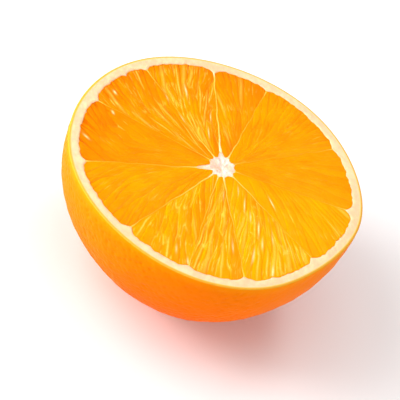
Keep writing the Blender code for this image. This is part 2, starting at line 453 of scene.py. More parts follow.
# Heights of its cut face, at shares of the way across it from the flesh out
PITH_FACE = {0: -0.00028, 0.05: -0.00012, 0.16: -0.00003, 0.33: 0, 0.5: 0, 0.67: 0, 0.84: 0, 1: 0}
PITH_INNER_DEPTH = 0.0009
PITH_OUTER_DEPTH = 0.0006
PITH_EDGE_FADE = 6
# Lumps of its rough top: length, height and seed
PITH_LUMPS = ((0.0011, 0.00010, 1), (0.0004, 0.00005, 2))
BOWL_RINGS = 17
BOWL_STEP = 5
BOWL_POINTS = 180
# How a membrane wanders. Each wave has its share of the size, how many times shorter it is, and its
# shift from one membrane to the next
SWAY_SIZE = 0.00010
SWAY_LENGTH = 0.0017
SWAY_START = 0.0045
SWAY_FADE = 0.004
SWAY_WAVES = ((1.0, 1.0, 5.3), (0.6, 1.9, 2.1))
CURL_POWER = 3
PITH_LIGHT = (0.92, 0.66, 0.375, 1)
PITH_DARK = (0.89, 0.56, 0.32, 1)
ARM_YELLOW = (0.95, 0.55, 0.22, 1)


def flesh_edge(angle):
    """Outer edge of the flesh: the pith reaches in to a point at each membrane."""
    edge = np.full(np.shape(angle), FLESH_RADIUS)
    reaches = [(row[0], row[1], CUSP_WIDTH) for row in MEMBRANES]
    reaches += [(middle, reach, PITH_POINT_WIDTH) for middle, reach in PITH_POINTS.items()]
    for middle, reach, width in reaches:
        offset = angle_gap(angle, math.radians(middle)) * FLESH_RADIUS / width
        edge = edge - reach * np.maximum(0.0, 1.0 - offset) ** 2
    for count, start, height in PITH_RIPPLES:
        edge = edge + height * np.cos(count * angle + start)
    return edge * outline_factor(angle)


def sway(index, radius):
    """How far a membrane wanders sideways at a radius, in metres: not at all at the core or pith."""
    free = np.clip(np.minimum(radius - SWAY_START, FLESH_RADIUS - radius) / SWAY_FADE, 0, 1)
    waves = sum(
        share * np.sin(times * radius / SWAY_LENGTH + shift * index) for share, times, shift in SWAY_WAVES
    )
    return SWAY_SIZE * free * waves


def grown(angle, radius, z):
    """Where points of a straight, even half lie on the real one: the membranes wander and curl round
    the core, and the core sits off the middle."""
    angle, radius, z = (values.astype(float) for values in np.broadcast_arrays(angle, radius, z))
    rows = np.array(MEMBRANES)
    count = len(rows)
    degrees = np.degrees(angle) % 360
    before = (np.searchsorted(rows[:, 0], degrees, side="right") - 1) % count
    after = (before + 1) % count
    share = (degrees - rows[before, 0]) % 360 / ((rows[after, 0] - rows[before, 0]) % 360)
    turn = rows[before, 3] * (1 - share) + rows[after, 3] * share
    aside = sway(before, radius) * (1 - share) + sway(after, radius) * share
    inward = np.maximum(0.0, 1.0 - radius / FLESH_RADIUS)
    curled = angle + np.radians(turn) * inward ** CURL_POWER + aside / np.maximum(radius, SWAY_START)
    return polar(curled, radius, z) + CORE_CENTRE * inward[..., None]


def bowl_z(angle, radius):
    """Height of the pith's inner side under a place of the flesh."""
    share = np.minimum(1.0, radius / flesh_edge(angle))
    return -BOWL_DEPTH * np.sqrt(1 - share ** 2)


def rough_heights(points, length, height, seed):
    """Random heights over points, in lumps of a length."""
    shift = Vector((seed * 3.7, seed * 1.9, seed * 7.1))
    return height * np.array([noise.noise(Vector(point) / length + shift) for point in points])


def pith_piece():
    """A bowl of pith: its inner side under the flesh, its rough top, and its outer side on the peel."""
    angle = even_angles(BOWL_POINTS)
    rings = []
    for k in range(BOWL_RINGS, 0, -1):
        turn = math.radians(BOWL_STEP * k)
        rings.append(polar(angle, flesh_edge(angle) * math.cos(turn), -BOWL_DEPTH * math.sin(turn)))
    angle = spaced_angles(FLESH_RADIUS, PITH_SPACING)
    inner = flesh_edge(angle)
    outer = (FACE_RADIUS - ZEST_WIDTH) * outline_factor(angle)
    rings.append(polar(angle, inner, -PITH_INNER_DEPTH))
    for share, z in PITH_FACE.items():
        ring = polar(angle, inner + (outer - inner) * share, z)
        fade = min(1.0, share * PITH_EDGE_FADE) * min(1.0, (1 - share) * PITH_EDGE_FADE)
        for lumps in PITH_LUMPS:
            ring[:, 2] += rough_heights(ring, *lumps) * fade
        rings.append(ring)
    rings.append(polar(angle, outer, -PITH_OUTER_DEPTH))
    rings += [inner_ring(step) for step in range(1, INNER_RINGS + 1)]
    points = np.concatenate(rings + [[(0, 0, -BOWL_DEPTH)], [(0, 0, INNER_FLOOR_Z)]])
    return new_piece("pith", points, stitched(rings))


def pale_material(name, light, dark, bump):
    """Soft, matt, spongy white of the pith and the core, yellower out along the core's arms."""
    made, make = new_material(name)
    mottle = make.cloud(lumps=420, detail=4)
    sponge = make.cloud(lumps=2600, detail=3)
    colour = make.mix(mottle.between(0.35, 0.70), dark, light)
    colour = make.mix(make.stored("arm") * 0.8, colour, ARM_YELLOW)
    return finished(
        made,
        Base_Color=colour,
        Roughness=sponge * 0.2 + 0.55,
        Normal=make.bump(strength=bump, distance=0.00012, height=sponge * 0.6 + mottle * 0.6),
        IOR=1.33,
        Specular_IOR_Level=0.3,
        Subsurface_Weight=0.35,
        Subsurface_Radius=(1.0, 0.55, 0.25),
        Subsurface_Scale=0.0008,
    )


pith = pith_piece()
pith.data.materials.append(pale_material("pith", PITH_LIGHT, PITH_DARK, bump=0.4))
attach(pith, "root")
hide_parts("orange_half")

# Core: the white column of soft fibres down the middle, star-shaped where its arms run out into the
# membranes. The knife leaves its top rough and a little hollow. It's grown onto the pith at the pole.
CORE_RADIUS = 0.0032
ARM_WIDTH = math.radians(9)
CORE_DROP = 0.00016
CORE_HOLLOW = 0.00045
CORE_HOLLOW_SHARE = 0.45
CORE_RIM_DROP = 0.00003
CORE_RIM_POWER = 8
# Lumps of its rough top: length, height and seed
CORE_CLODS = (0.0009, 0.00028, 3)
CORE_FLUFF = (0.00035, 0.00012, 4)
CORE_CALM = 1.2
CORE_COLUMNS = 264
CORE_RINGS = 22
CORE_SIDE_RINGS = 7
CORE_SIDE_TOP = 0.0006
CORE_SIDE_LENGTH = 0.0338
CORE_FLARE = 1.01
CORE_BOTTOM = 0.0345
ARM_FADE = 0.0035
CORE_LIGHT = (0.94, 0.77, 0.65, 1)
CORE_DARK = (0.90, 0.56, 0.40, 1)


def core_edge(angle):
    """Edge of the core: a short pale arm runs out along each membrane."""
    edge = np.full(np.shape(angle), CORE_RADIUS)
    for row in MEMBRANES:
        edge = edge + row[2] * np.exp(-(angle_gap(angle, math.radians(row[0])) / ARM_WIDTH) ** 2)
    return edge


def core_piece():
    """The core from the middle of its rough top out to the arms, and down its side to the pith."""
    angle = even_angles(CORE_COLUMNS)
    edge = core_edge(angle)
    rings = []
    for k in range(1, CORE_RINGS + 1):
        share = k / CORE_RINGS
        hollow = CORE_HOLLOW * math.exp(-(share / CORE_HOLLOW_SHARE) ** 2)
        ring = grown(angle, edge * share, -CORE_DROP - hollow - CORE_RIM_DROP * share ** CORE_RIM_POWER)
        ring[:, 2] += rough_heights(ring, *CORE_CLODS) * min(1, 2 * share) * (CORE_CALM - share)
        ring[:, 2] += rough_heights(ring, *CORE_FLUFF) * (CORE_CALM - share)
        rings.append(ring)
    for k in range(1, CORE_SIDE_RINGS + 1):
        z = -CORE_SIDE_TOP - CORE_SIDE_LENGTH * k / CORE_SIDE_RINGS
        rings.append(grown(angle, edge * CORE_FLARE, z))
    top = (*CORE_CENTRE[:2], -CORE_DROP - CORE_HOLLOW)
    bottom = (*CORE_CENTRE[:2], -CORE_BOTTOM)
    points = np.concatenate(rings + [[top], [bottom]])
    arm = np.clip((np.hypot(*(points - CORE_CENTRE)[:, :2].T) - CORE_RADIUS) / ARM_FADE, 0, 1)
    return new_piece("core", points, stitched(rings), arm=arm)


core = core_piece()
core.data.materials.append(pale_material("core", CORE_LIGHT, CORE_DARK, bump=0.8))
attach(core, "root")
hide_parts("orange_half")

# Membranes: thin pale walls between the segments, each grown onto the core inside and the pith
# outside and below. Cut through, they show as fine wavy lines, a hair above the flesh beside them.
MEMBRANE_HALF = 0.00015
MEMBRANE_DROP = 0.00010
MEMBRANE_RISE = 0.00007
MEMBRANE_STATIONS = 170
# Half its section: share of the half width, and depth, at first in steps and then down to the pith
MEMBRANE_SECTION = ((1.0, 1.0), (1.0, 0.3), (1.0, 0.06), (0.9, 0.0), (0.45, 0.0))
MEMBRANE_EDGE_DEPTH = 0.0012
MEMBRANE_ROUNDING = 0.00007
# Waves of its top, width and paleness: size, length, and where in the noise they're taken
TOP_WAVES = (0.00004, 0.0016, 3.1, 4.0)
WIDTH_WAVES = (0.35, 0.0023, 2.3, 9.0)
PALE_WAVES = (0.9, 0.0030, 7.7, 2.0)
# How far it goes into the core and the pith, and how far from them it stays broad
CORE_OVERLAP = 0.0005
PITH_OVERLAP = 0.0006
CORE_SPREAD = 0.0022
PITH_SPREAD = 0.0020
# Share of the way to the pith past which its bowl would be too steep
BOWL_MARGIN = 0.9985
MEMBRANE_ORANGE = (0.96, 0.32, 0.002, 1)
MEMBRANE_YELLOW = (0.97, 0.55, 0.07, 1)
MEMBRANE_PALE = (0.97, 0.80, 0.42, 1)


def wave(index, radius, size, length, turn, row):
    """A slow random wave of a membrane at a radius."""
    return size * noise.noise(Vector((radius / length, index * turn, row)))


def membrane_piece(index):
    """One wall: its section is swept from inside the core to inside the pith."""
    start = math.radians(MEMBRANES[index][0])
    near_core, near_pith = MEMBRANES[index][4:]
    edge = flesh_edge(start)
    inside = core_edge(start) - CORE_OVERLAP
    outside = edge + PITH_OVERLAP
    section = MEMBRANE_SECTION + tuple((-side, down) for side, down in reversed(MEMBRANE_SECTION))
    rings = []
    pale = []
    for k in range(MEMBRANE_STATIONS):
        radius = inside + (outside - inside) * k / (MEMBRANE_STATIONS - 1)
        ends = math.exp(-(radius - inside) / CORE_SPREAD) + math.exp(-(outside - radius) / PITH_SPREAD)
        share = (radius - inside) / (outside - inside)
        strength = near_core * (1 - share) ** 1.5 + near_pith * share ** 4
        half = MEMBRANE_HALF * (1 + wave(index, radius, *WIDTH_WAVES))
        half *= 0.85 + 0.5 * strength + 0.5 * ends
        high = -MEMBRANE_DROP + wave(index, radius, *TOP_WAVES) + MEMBRANE_RISE * min(1.0, strength)
        low = max(-CORE_BOTTOM, bowl_z(start, min(radius, BOWL_MARGIN * edge)) - PITH_OVERLAP)
        ring = []
        for side, down in section:
            z = high - MEMBRANE_EDGE_DEPTH * down - MEMBRANE_ROUNDING * abs(side) ** 3
            if down > 0.1:
                z = high + (low - high) * down
            ring.append(grown(start + side * half / radius, radius, z))
        rings.append(ring)
        spots = 0.5 + wave(index, radius, *PALE_WAVES)
        pale += [strength * (0.55 + 0.45 * spots) + 0.6 * ends] * len(section)
    points = np.array(rings).reshape(-1, 3)
    width = len(section)
    faces = []
    for k in range(MEMBRANE_STATIONS - 1):
        for j in range(width):
            a, b = k * width + j, k * width + (j + 1) % width
            faces.append((a, b, b + width, a + width))
    faces.append(tuple(reversed(range(width))))
    faces.append(tuple(range(len(points) - width, len(points))))
    return new_piece(f"membrane_{index + 1:02d}", points, faces, pale=pale)


def membrane_material():
    """A thin moist skin: orange where the flesh shines through, pale where it's thick or dry."""
    made, make = new_material("membrane")
    fibres = make.cloud(lumps=1500, detail=3)
    pale = make.stored("pale") + fibres * 0.3 - 0.15
    colour = make.mix(pale.between(0.0, 0.6), MEMBRANE_ORANGE, MEMBRANE_YELLOW)
    colour = make.mix(pale.between(0.6, 1.4), colour, MEMBRANE_PALE)
    return finished(
        made,
        Base_Color=colour,
        Roughness=fibres * 0.2 + 0.35,
        Normal=make.bump(strength=0.3, distance=0.0001, height=fibres),
        IOR=1.34,
        Specular_IOR_Level=0.25,
        Specular_Tint=(1.0, 0.75, 0.4, 1),
        Subsurface_Weight=0.15,
        Subsurface_Radius=(1.0, 0.45, 0.12),
        Subsurface_Scale=0.0010,
    )


membrane_finish = membrane_material()
for index in range(len(MEMBRANES)):
    membrane = membrane_piece(index)
    membrane.data.materials.append(membrane_finish)
    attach(membrane, "root")
    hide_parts("orange_half")

# Segments: eleven wedges of flesh, each a skinful of long juice sacs that point from the pith in
# towards the core. Cut open, they're wet and translucent, with fine paler walls between the sacs.
# Each segment lies against its two membranes, the core and the pith.
FLESH_DROP = 0.00012
GROOVE_DEPTH = 0.00001
SEGMENT_SWELL = 0.00020
SWELL_POWER = 0.9
BORDER_FADE = 0.0040
BORDER_ROUNDING = 0.0004
FLESH_SPACING = 0.00016
BORDER_SPACING = 0.00026
BOTTOM_SPACING = 0.0030
# Room between a segment's edge and its other points, in spacings
TOP_CLEARANCE = 0.6
BOTTOM_CLEARANCE = 0.5
SIDE_OFFSET = 0.55 * MEMBRANE_HALF
SIDE_STEPS = (0.0004, 0.0010)
SIDE_DEPTH = 0.0018
SEGMENT_OVERLAP = 0.00003
NET_MARGIN = 1.02
SAC_SEED = 100
SAC_LENGTH = 0.0056
SAC_WIDTH = 0.00078
# The share of those sizes at the core, and how much more at the pith
SAC_LENGTH_SHARES = (0.75, 0.30)
SAC_WIDTH_SHARES = (0.30, 0.80)
# How sacs differ: in length, in width, and in direction by some degrees
SAC_LENGTHS = (0.7, 1.35)
SAC_WIDTHS = (0.8, 1.25)
SAC_TWIST = 3.5
# Roundness of a sac's outline, between 1 for a diamond and 2 for an ellipse
SAC_POWER = 1.6
# How sacs are spread: the room of each, in its length times its width, the rounds, how few points
# count, and the shares of the old and the new place
SAC_ROOM = 3.0
FEWEST_SACS = 8
SPREAD_ROUNDS = 5
SPREAD_STRIDE = 5
SPREAD_SHARES = (0.3, 0.7)
PITH_LEAN_START = 0.021
PITH_LEAN_FADE = 0.009
SAC_DOME = 0.00013
SAC_DOME_WIDTH = 0.55
SAC_DOME_LEVEL = 0.7
SAC_STEP = 0.00008
SAC_TILT = 0.00006
# Widths of what shows on the sacs, in sac widths, and a glint's length, in sac lengths
WALL_WIDTH = 0.32
LINE_WIDTH = 0.22
GAP_SHADE_WIDTH = 0.35
RIDGE_HIGHLIGHT_WIDTH = 0.22
DRY_WIDTH = 0.5
GLINT_WIDTH = 0.30
GLINT_LENGTH = 0.28
LUMP_LENGTH = 0.0035
# Fine grain: how dense it is across and along a sac, and its shift from one sac to the next
GRAIN = (2.5, 2.7, 31)
# Where the grain starts to show as pale strokes, partly painted highlight, as painted shade and as dark
# spots, and how steeply
STROKES = (0.18, 3.2)
SHADES = (0.22, 3.0)
SPOTS = (0.02, 2.5)
STROKE_START = 0.007
STROKE_FADE = 0.008
# How far from the pith the painted shade of the darker rim and of the gaps between sacs, and the dark
# spots, show
RIM_SHADE_REACH = 0.0035
GAP_SHADE_REACH = 0.0055
SPOT_REACH = 0.0040
FLESH_ORANGE = (0.90, 0.15, 0, 1)
FLESH_YELLOW = (0.97, 0.375, 0, 1)
# Painted shade: the darker orange of the flesh along the pith
FLESH_RIM_SHADE = (0.86, 0.185, 0, 1)
SAC_WALL = (0.98, 0.40, 0.003, 1)
# Painted shade: the dark orange of the gaps between the sacs
SAC_GAP_SHADE = (0.64, 0.13, 0, 1)
# Pale walls, dry sacs and grain of the flesh, partly painted highlight
SAC_PALE_AND_HIGHLIGHT = (0.98, 0.67, 0.10, 1)
# Painted highlight: the yellowish white of single shining sacs, and of a few dry ones
SAC_GLINT = (0.99, 0.84, 0.40, 1)
# For each segment, from the one after the first membrane: how far its sacs lean from straight out and how
# much further near the pith, in degrees, how strongly they fan out, how much of their walls and grain
# shows pale, partly as painted highlight, how yellow the flesh is, and how strongly painted shade darkens
# the rim along the pith and the gaps between the sacs near it
SEGMENTS = (
    (-8, 0, 0, 0.05, 0.55, 0.2),
    (8, 0, 0.5, 0.08, 0.54, 0.3),
    (16, 0, 0, 0.30, 0.40, 0.9),
    (-10, -8, 0, 0.70, 0.44, 1.2),
    (-8, -14, 0, 0.42, 0.37, 1.3),
    (6, -52, 0, 0.05, 0.33, 1.3),
    (14, 8, 0, 0.12, 0.56, 0.5),
    (20, 0, 0, 0.60, 0.68, 0.3),
    (-5, 0, 0, 0.80, 0.66, 0.2),
    (-26, 0, 0, 0.78, 0.98, 0.2),
    (-34, 0, 0, 0.15, 0.80, 0.2),
)
# Painted highlights of single wet sacs that shine out, and a few pale dry sacs: place on the cut face in
# metres, length and brightness
GLINTS = (
    (0.0153, -0.0037, 1.1, 1),
    (0.0062, -0.0052, 0.9, 0.8),
    (0.0094, -0.0089, 1.3, 0.9),
    (0.0119, -0.0116, 1, 0.6),
    (0.0176, -0.0182, 1, 0.7),
    (0.0151, -0.0142, 1.3, 0.9),
    (0.0193, -0.0148, 1, 0.6),
    (0.0167, -0.0232, 1.3, 0.9),
    (0.0228, -0.0250, 1.1, 0.9),
    (0.0112, -0.0232, 1, 0.8),
    (0.0039, -0.0090, 1, 0.6),
    (0.0032, -0.0345, 0.7, 0.8),
    (-0.0008, -0.0324, 0.7, 0.6),
    (-0.0204, 0.0164, 1, 1),
    (-0.0163, 0.0209, 1.3, 0.9),
    (-0.0141, 0.0109, 1, 0.6),
    (-0.0077, 0.0158, 1, 0.6),
    (-0.0065, 0.0096, 1.2, 0.9),
    (-0.0319, 0.0090, 0.4, 1),
    (-0.0300, 0.0019, 0.38, 0.9),
    (-0.0329, -0.0102, 0.6, 0.7),
)


def segment_sides(index):
    """Angles of the membranes on both sides of a segment, in radians."""
    start = math.radians(MEMBRANES[index][0])
    end = math.radians(MEMBRANES[(index + 1) % len(MEMBRANES)][0])
    return start, end + math.tau if end < start else end


def side_line(angle, side):
    """Points of a segment's side along the membrane at an angle: angles and radii."""
    inner = core_edge(angle) - SEGMENT_OVERLAP
    outer = flesh_edge(angle) + SEGMENT_OVERLAP
    count = max(4, round((outer - inner) / BORDER_SPACING))
    radius = np.linspace(inner, outer, count)
    return angle + side * np.arcsin(SIDE_OFFSET / radius), radius


def segment_outline(index):
    """A segment's edge, seen from above: angles and radii, anticlockwise from its inner start."""
    start, end = segment_sides(index)
    first_angle, first_radius = side_line(start, 1)
    last_angle, last_radius = side_line(end, -1)
    count = round((end - start) * FLESH_RADIUS / BORDER_SPACING)
    arc = np.linspace(first_angle[-1], last_angle[-1], count + 1)[1:-1]
    count = max(6, round((end - start) * CORE_RADIUS / BORDER_SPACING))
    hub = np.linspace(last_angle[0], first_angle[0], count + 1)[1:-1]
    angle = np.concatenate((first_angle, arc, last_angle[::-1], hub))
    arc_radius, hub_radius = flesh_edge(arc) + SEGMENT_OVERLAP, core_edge(hub) - SEGMENT_OVERLAP
    radius = np.concatenate((first_radius, arc_radius, last_radius[::-1], hub_radius))
    return angle, radius


def border_distance(index, angle, radius):
    """How far points of a segment lie inside its edge."""
    start, end = segment_sides(index)
    first = radius * np.sin(np.minimum(angle - start, math.pi / 2)) - SIDE_OFFSET
    last = radius * np.sin(np.minimum(end - angle, math.pi / 2)) - SIDE_OFFSET
    return np.minimum.reduce((first, last, radius - core_edge(angle), flesh_edge(angle) - radius))


def hex_points(index, spacing, keep):
    """An even net of points inside a segment, at least keep inside its edge: angles and radii."""
    start, end = segment_sides(index)
    middle = (start + end) / 2
    reach = FLESH_RADIUS * NET_MARGIN
    rows = np.arange(-reach, reach, spacing * math.sqrt(3) / 2)
    x, y = np.meshgrid(np.arange(0, reach, spacing), rows)
    x = x + (np.arange(len(rows)) % 2)[:, None] * spacing / 2
    radius = np.hypot(x, y).ravel()
    angle = np.arctan2(y, x).ravel()
    wide = (np.abs(angle) < (end - start) / 2) & (radius < reach)
    angle, radius = angle[wide] + middle, radius[wide]
    inside = border_distance(index, angle, radius) > keep
    return angle[inside], radius[inside]


def filled(outline, inner):
    """Triangles over an outline with inner points: all the angles and radii, and the faces."""
    angle = np.concatenate((outline[0], inner[0]))
    radius = np.concatenate((outline[1], inner[1]))
    millimetres = 1000 * polar(angle, radius, 0.0)[:, :2]
    loop = list(range(len(outline[0])))
    net = geometry.delaunay_2d_cdt([Vector(p) for p in millimetres], [], [loop], 1, 1e-6)
    own = [sources[0] for sources in net[3]]
    return angle, radius, [tuple(own[v] for v in face) for face in net[2]]


def sac_distances(index, flat, seeds, sizes):
    """For each point and sac: distance in sac widths, and how far along and across the sac."""
    start, end = segment_sides(index)
    lean, pith_lean, fan = SEGMENTS[index][:3]
    seed_radius = np.hypot(seeds[:, 0], seeds[:, 1])
    seed_angle = np.arctan2(seeds[:, 1], seeds[:, 0])
    off_middle = (seed_angle - (start + end) / 2 + math.pi) % math.tau - math.pi
    stretch, swell, twist = np.array(sizes).T
    near_pith = np.clip((seed_radius - PITH_LEAN_START) / PITH_LEAN_FADE, 0, 1)
    way = seed_angle + fan * off_middle + np.radians(lean + pith_lean * near_pith + twist)
    reach = flat[:, None, :] - seeds[None]
    along = reach[..., 0] * np.cos(way) + reach[..., 1] * np.sin(way)
    across = reach[..., 1] * np.cos(way) - reach[..., 0] * np.sin(way)
    at_core, more = SAC_LENGTH_SHARES
    along = along / (SAC_LENGTH * stretch * (at_core + more * seed_radius / FLESH_RADIUS))
    at_core, more = SAC_WIDTH_SHARES
    across = across / (SAC_WIDTH * swell * (at_core + more * seed_radius / FLESH_RADIUS))
    distance = (np.abs(along) ** SAC_POWER + np.abs(across) ** SAC_POWER) ** (1 / SAC_POWER)
    return distance, along, across


def sac_seeds(index, flat, chance):
    """Middles of a segment's sacs, moved apart until they're even, and their lengths, widths, turns."""
    area = len(flat) * FLESH_SPACING ** 2 * math.sqrt(3) / 2
    count = max(FEWEST_SACS, round(area / (SAC_LENGTH * SAC_WIDTH * SAC_ROOM)))
    seeds = flat[chance.sample(range(len(flat)), count)]
    sizes = [
        (chance.uniform(*SAC_LENGTHS), chance.uniform(*SAC_WIDTHS), chance.gauss(0.0, SAC_TWIST))
        for _ in range(count)
    ]
    some = flat[::SPREAD_STRIDE]
    for _ in range(SPREAD_ROUNDS):
        nearest = sac_distances(index, some, seeds, sizes)[0].argmin(axis=1)
        for seed in range(count):
            held = some[nearest == seed]
            if len(held):
                seeds[seed] = SPREAD_SHARES[0] * seeds[seed] + SPREAD_SHARES[1] * held.mean(axis=0)
    return seeds, sizes


def own_sacs(index, flat):
    """For each point: its sac, how far off the next one is, how far along and across its own it lies,
    and its sac's tone, step, tilt and streak, drawn from 0 or -1 to 1."""
    chance = random.Random(SAC_SEED + index)
    seeds, sizes = sac_seeds(index, flat, chance)
    distance, along, across = sac_distances(index, flat, seeds, sizes)
    order = np.argsort(distance, axis=1)
    rows = np.arange(len(flat))
    own = order[:, 0]
    gap = distance[rows, order[:, 1]] - distance[rows, own]
    drawn = np.array([[chance.uniform(low, 1) for _ in seeds] for low in (0, -1, -1, 0)])
    return own, gap, along[rows, own], across[rows, own], *drawn[:, own]


def glints_at(index, flat):
    """How strongly the painted highlights of single wet sacs, and a few pale dry sacs, show at points of
    a segment.
    """
    bright = np.zeros(len(flat))
    for *spot, reach, shine in GLINTS:
        _, past, beside = sac_distances(index, flat, np.array([spot]), [(reach, 1, 0)])
        squares = (past[:, 0] / GLINT_LENGTH) ** 2 + (beside[:, 0] / GLINT_WIDTH) ** 2
        bright = bright + shine * np.exp(-squares)
    return bright


def bell(distance, width):
    """1 at no distance, and smoothly down to 0 beyond a width."""
    return np.exp(-(distance / width) ** 2)


def ramp(value, start, slope):
    """0 up to a start, and from there up to 1 by a slope."""
    return np.clip(slope * (value - start), 0, 1)


def flesh_surface(index, angle, radius):
    """Height of the flesh's cut face, and the values that its finish needs."""
    start, end = segment_sides(index)
    strength, yellow, pith_shade = SEGMENTS[index][3:]
    flat = polar(angle, radius, 0.0)[:, :2]
    own, gap, along, across, tone, step, tilt, streak = own_sacs(index, flat)
    near = np.minimum(1.0, np.maximum(0.0, border_distance(index, angle, radius)) / BORDER_ROUNDING)
    fade = np.minimum(1.0, np.minimum(radius - CORE_RADIUS, FLESH_RADIUS - radius).clip(0) / BORDER_FADE)
    bulge = np.sin(np.pi * np.clip((angle - start) / (end - start), 0, 1)) ** SWELL_POWER
    dome = 1 - np.exp(-gap / SAC_DOME_WIDTH)
    sac = SAC_DOME * (dome - SAC_DOME_LEVEL) + SAC_STEP * step + SAC_TILT * tilt * across
    height = -FLESH_DROP + fade * ((GROOVE_DEPTH + SEGMENT_SWELL) * bulge - GROOVE_DEPTH)
    height = height + near * sac * (0.55 + 0.45 * strength)
    lumps = np.array([noise.noise(Vector((x / LUMP_LENGTH, y / LUMP_LENGTH, index))) for x, y in flat])
    grain = zip(GRAIN[0] * across + GRAIN[2] * own, GRAIN[1] * along)
    fibre = np.array([noise.noise(Vector((a, b, index))) for a, b in grain])
    # Pale: lines between the sacs, ridges and dry streaks along them, and strokes of the grain. The
    # walls, dry sacs and grain are partly their own pale colour and partly painted highlight; the ridges
    # are painted highlight
    body = np.clip(1.2 - np.abs(along), 0, 1)
    lines = bell(gap, LINE_WIDTH) * np.clip(1.8 * (strength - 0.45 + 1.1 * lumps), 0, 1)
    lines = lines * np.clip(1.7 - 1.6 * np.abs(along), 0, 1)
    # Painted highlight: a pale ridge along some sacs
    ridge_highlights = bell(across - 0.25 * tilt, RIDGE_HIGHLIGHT_WIDTH) * body
    ridge_highlights = ridge_highlights * np.where(streak < 0.30 * strength - 0.02, 0.8, 0)
    dry = 0.45 * bell(across, DRY_WIDTH) * body * (streak > 1.02 - 0.35 * strength)
    outer = np.clip((radius - STROKE_START) / STROKE_FADE, 0, 1) * strength
    strokes = ramp(fibre, *STROKES) * outer * np.clip(0.50 + 1.6 * lumps, 0, 1)
    pale = 0.7 * lines + ridge_highlights + dry + 0.75 * strokes
    # Darker: painted shade in a rim along the pith, in the gaps between the sacs near it and in strokes
    # of the grain, and dark spots
    from_pith = (flesh_edge(angle) - radius).clip(0)
    rim_shade = np.exp(-from_pith / RIM_SHADE_REACH) * min(1.0, pith_shade)
    shades = ramp(-fibre, *SHADES) * outer
    spots = ramp(-fibre, *SPOTS) * np.exp(-from_pith / SPOT_REACH) * max(0.0, pith_shade - 0.8)
    deep = bell(gap, GAP_SHADE_WIDTH) * np.exp(-from_pith / GAP_SHADE_REACH) * pith_shade
    deep = deep + 0.22 * shades + 1.1 * spots
    # Tone: riper or paler towards the pith, and a little different in each sac
    plain = 0.35 + 0.65 * strength
    ripe = yellow - 0.3 + 0.6 * (yellow - 0.45) * (2 * radius / FLESH_RADIUS - 1)
    tones = 0.45 * plain * (tone - 0.5) + 0.2 + 0.75 * ripe
    values = {"tone": tones, "wall": bell(gap, WALL_WIDTH) * plain, "rim_shade": rim_shade}
    values |= {"pale": np.clip(pale, 0, 1) * near, "bright": glints_at(index, flat) * near, "deep": deep}
    return height, values


def segment_piece(index):
    """One wedge of flesh, closed: its cut top, its sides, and its round underside on the pith."""
    outline = segment_outline(index)
    top = filled(outline, hex_points(index, FLESH_SPACING, TOP_CLEARANCE * FLESH_SPACING))
    bottom = filled(outline, hex_points(index, BOTTOM_SPACING, BOTTOM_CLEARANCE * BOTTOM_SPACING))
    height, values = flesh_surface(index, top[0], top[1])
    edge = len(outline[0])
    points = [grown(top[0], top[1], height)]
    for drop in SIDE_STEPS:
        points.append(grown(outline[0], outline[1], height[:edge] - drop))
    low = bowl_z(bottom[0], np.minimum(bottom[1], BOWL_MARGIN * flesh_edge(bottom[0])))
    points.append(grown(bottom[0], bottom[1], np.clip(low, -CORE_BOTTOM, -SIDE_DEPTH)))
    faces = list(top[2])
    starts = [0] + [len(height) + k * edge for k in range(len(SIDE_STEPS) + 1)]
    for upper, lower in zip(starts, starts[1:]):
        for i in range(edge):
            after = (i + 1) % edge
            faces.append((upper + i, lower + i, lower + after, upper + after))
    faces += [tuple(starts[-1] + v for v in reversed(face)) for face in bottom[2]]
    points = np.concatenate(points)
    for name in values:
        values[name] = np.concatenate((values[name], np.zeros(len(points) - len(height))))
    return new_piece(f"segment_{index + 1:02d}", points, faces, **values)


def flesh_material():
    """Wet translucent flesh, its colours laid on by what the points of each segment carry, painted shade
    and painted highlights among them.
    """
    made, make = new_material("flesh")
    patches = make.cloud(lumps=160, detail=2)
    fine = make.cloud(lumps=2200, detail=3)
    tone = (make.stored("tone") + patches * 0.6 - 0.05).limited()
    colour = make.mix(tone, FLESH_ORANGE, FLESH_YELLOW)
    # Painted shade: the flesh darker orange along the pith
    colour = make.mix(make.stored("rim_shade") * 0.6, colour, FLESH_RIM_SHADE)
    colour = make.mix(make.stored("wall") * 0.25, colour, SAC_WALL)
    # Painted shade in the gaps between the sacs near the pith and in strokes of the grain, and dark spots
    colour = make.mix(make.stored("deep") * 0.9, colour, SAC_GAP_SHADE)
    # Pale walls, dry sacs and grain of the flesh, partly painted highlights
    pale = (make.stored("pale") * (fine * 0.7 + 0.65)).limited()
    colour = make.mix(pale * 0.85, colour, SAC_PALE_AND_HIGHLIGHT)
    # Painted highlights of single wet sacs, and pale dry sacs
    colour = make.mix(make.stored("bright") * 0.9, colour, SAC_GLINT)
    return finished(
        made,
        Base_Color=colour,
        Roughness=fine * 0.18 + 0.24 + pale * 0.1,
        Normal=make.bump(strength=0.35, distance=0.00010, height=fine + patches * 0.5),
        IOR=1.35,
        Specular_IOR_Level=0.05,
        Specular_Tint=(1.0, 0.65, 0.2, 1),
        Subsurface_Weight=0.30,
        Subsurface_Radius=(1.0, 0.35, 0.05),
        Subsurface_Scale=0.0010,
        Coat_Weight=0.02,
        Coat_Roughness=0.10,
        Coat_IOR=1.33,
    )


flesh_finish = flesh_material()
for index in range(len(MEMBRANES)):
    segment = segment_piece(index)
    segment.data.materials.append(flesh_finish)
    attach(segment, "root")
    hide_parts("orange_half")

# Scar: the small dry button at the pole, where the fruit hung from its twig. It's brown cork, grown
# onto the floor of a shallow hollow in the peel, and sits just clear of the table.
SCAR_PIECE_RADIUS = 0.0019
SCAR_PIECE_HEIGHT = 0.00035
SCAR_ROOT_Z = FLAT_Z + SCAR_DEPTH + 0.0001
SCAR_MIDDLE_Z = FLAT_Z + SCAR_DEPTH - 0.0002
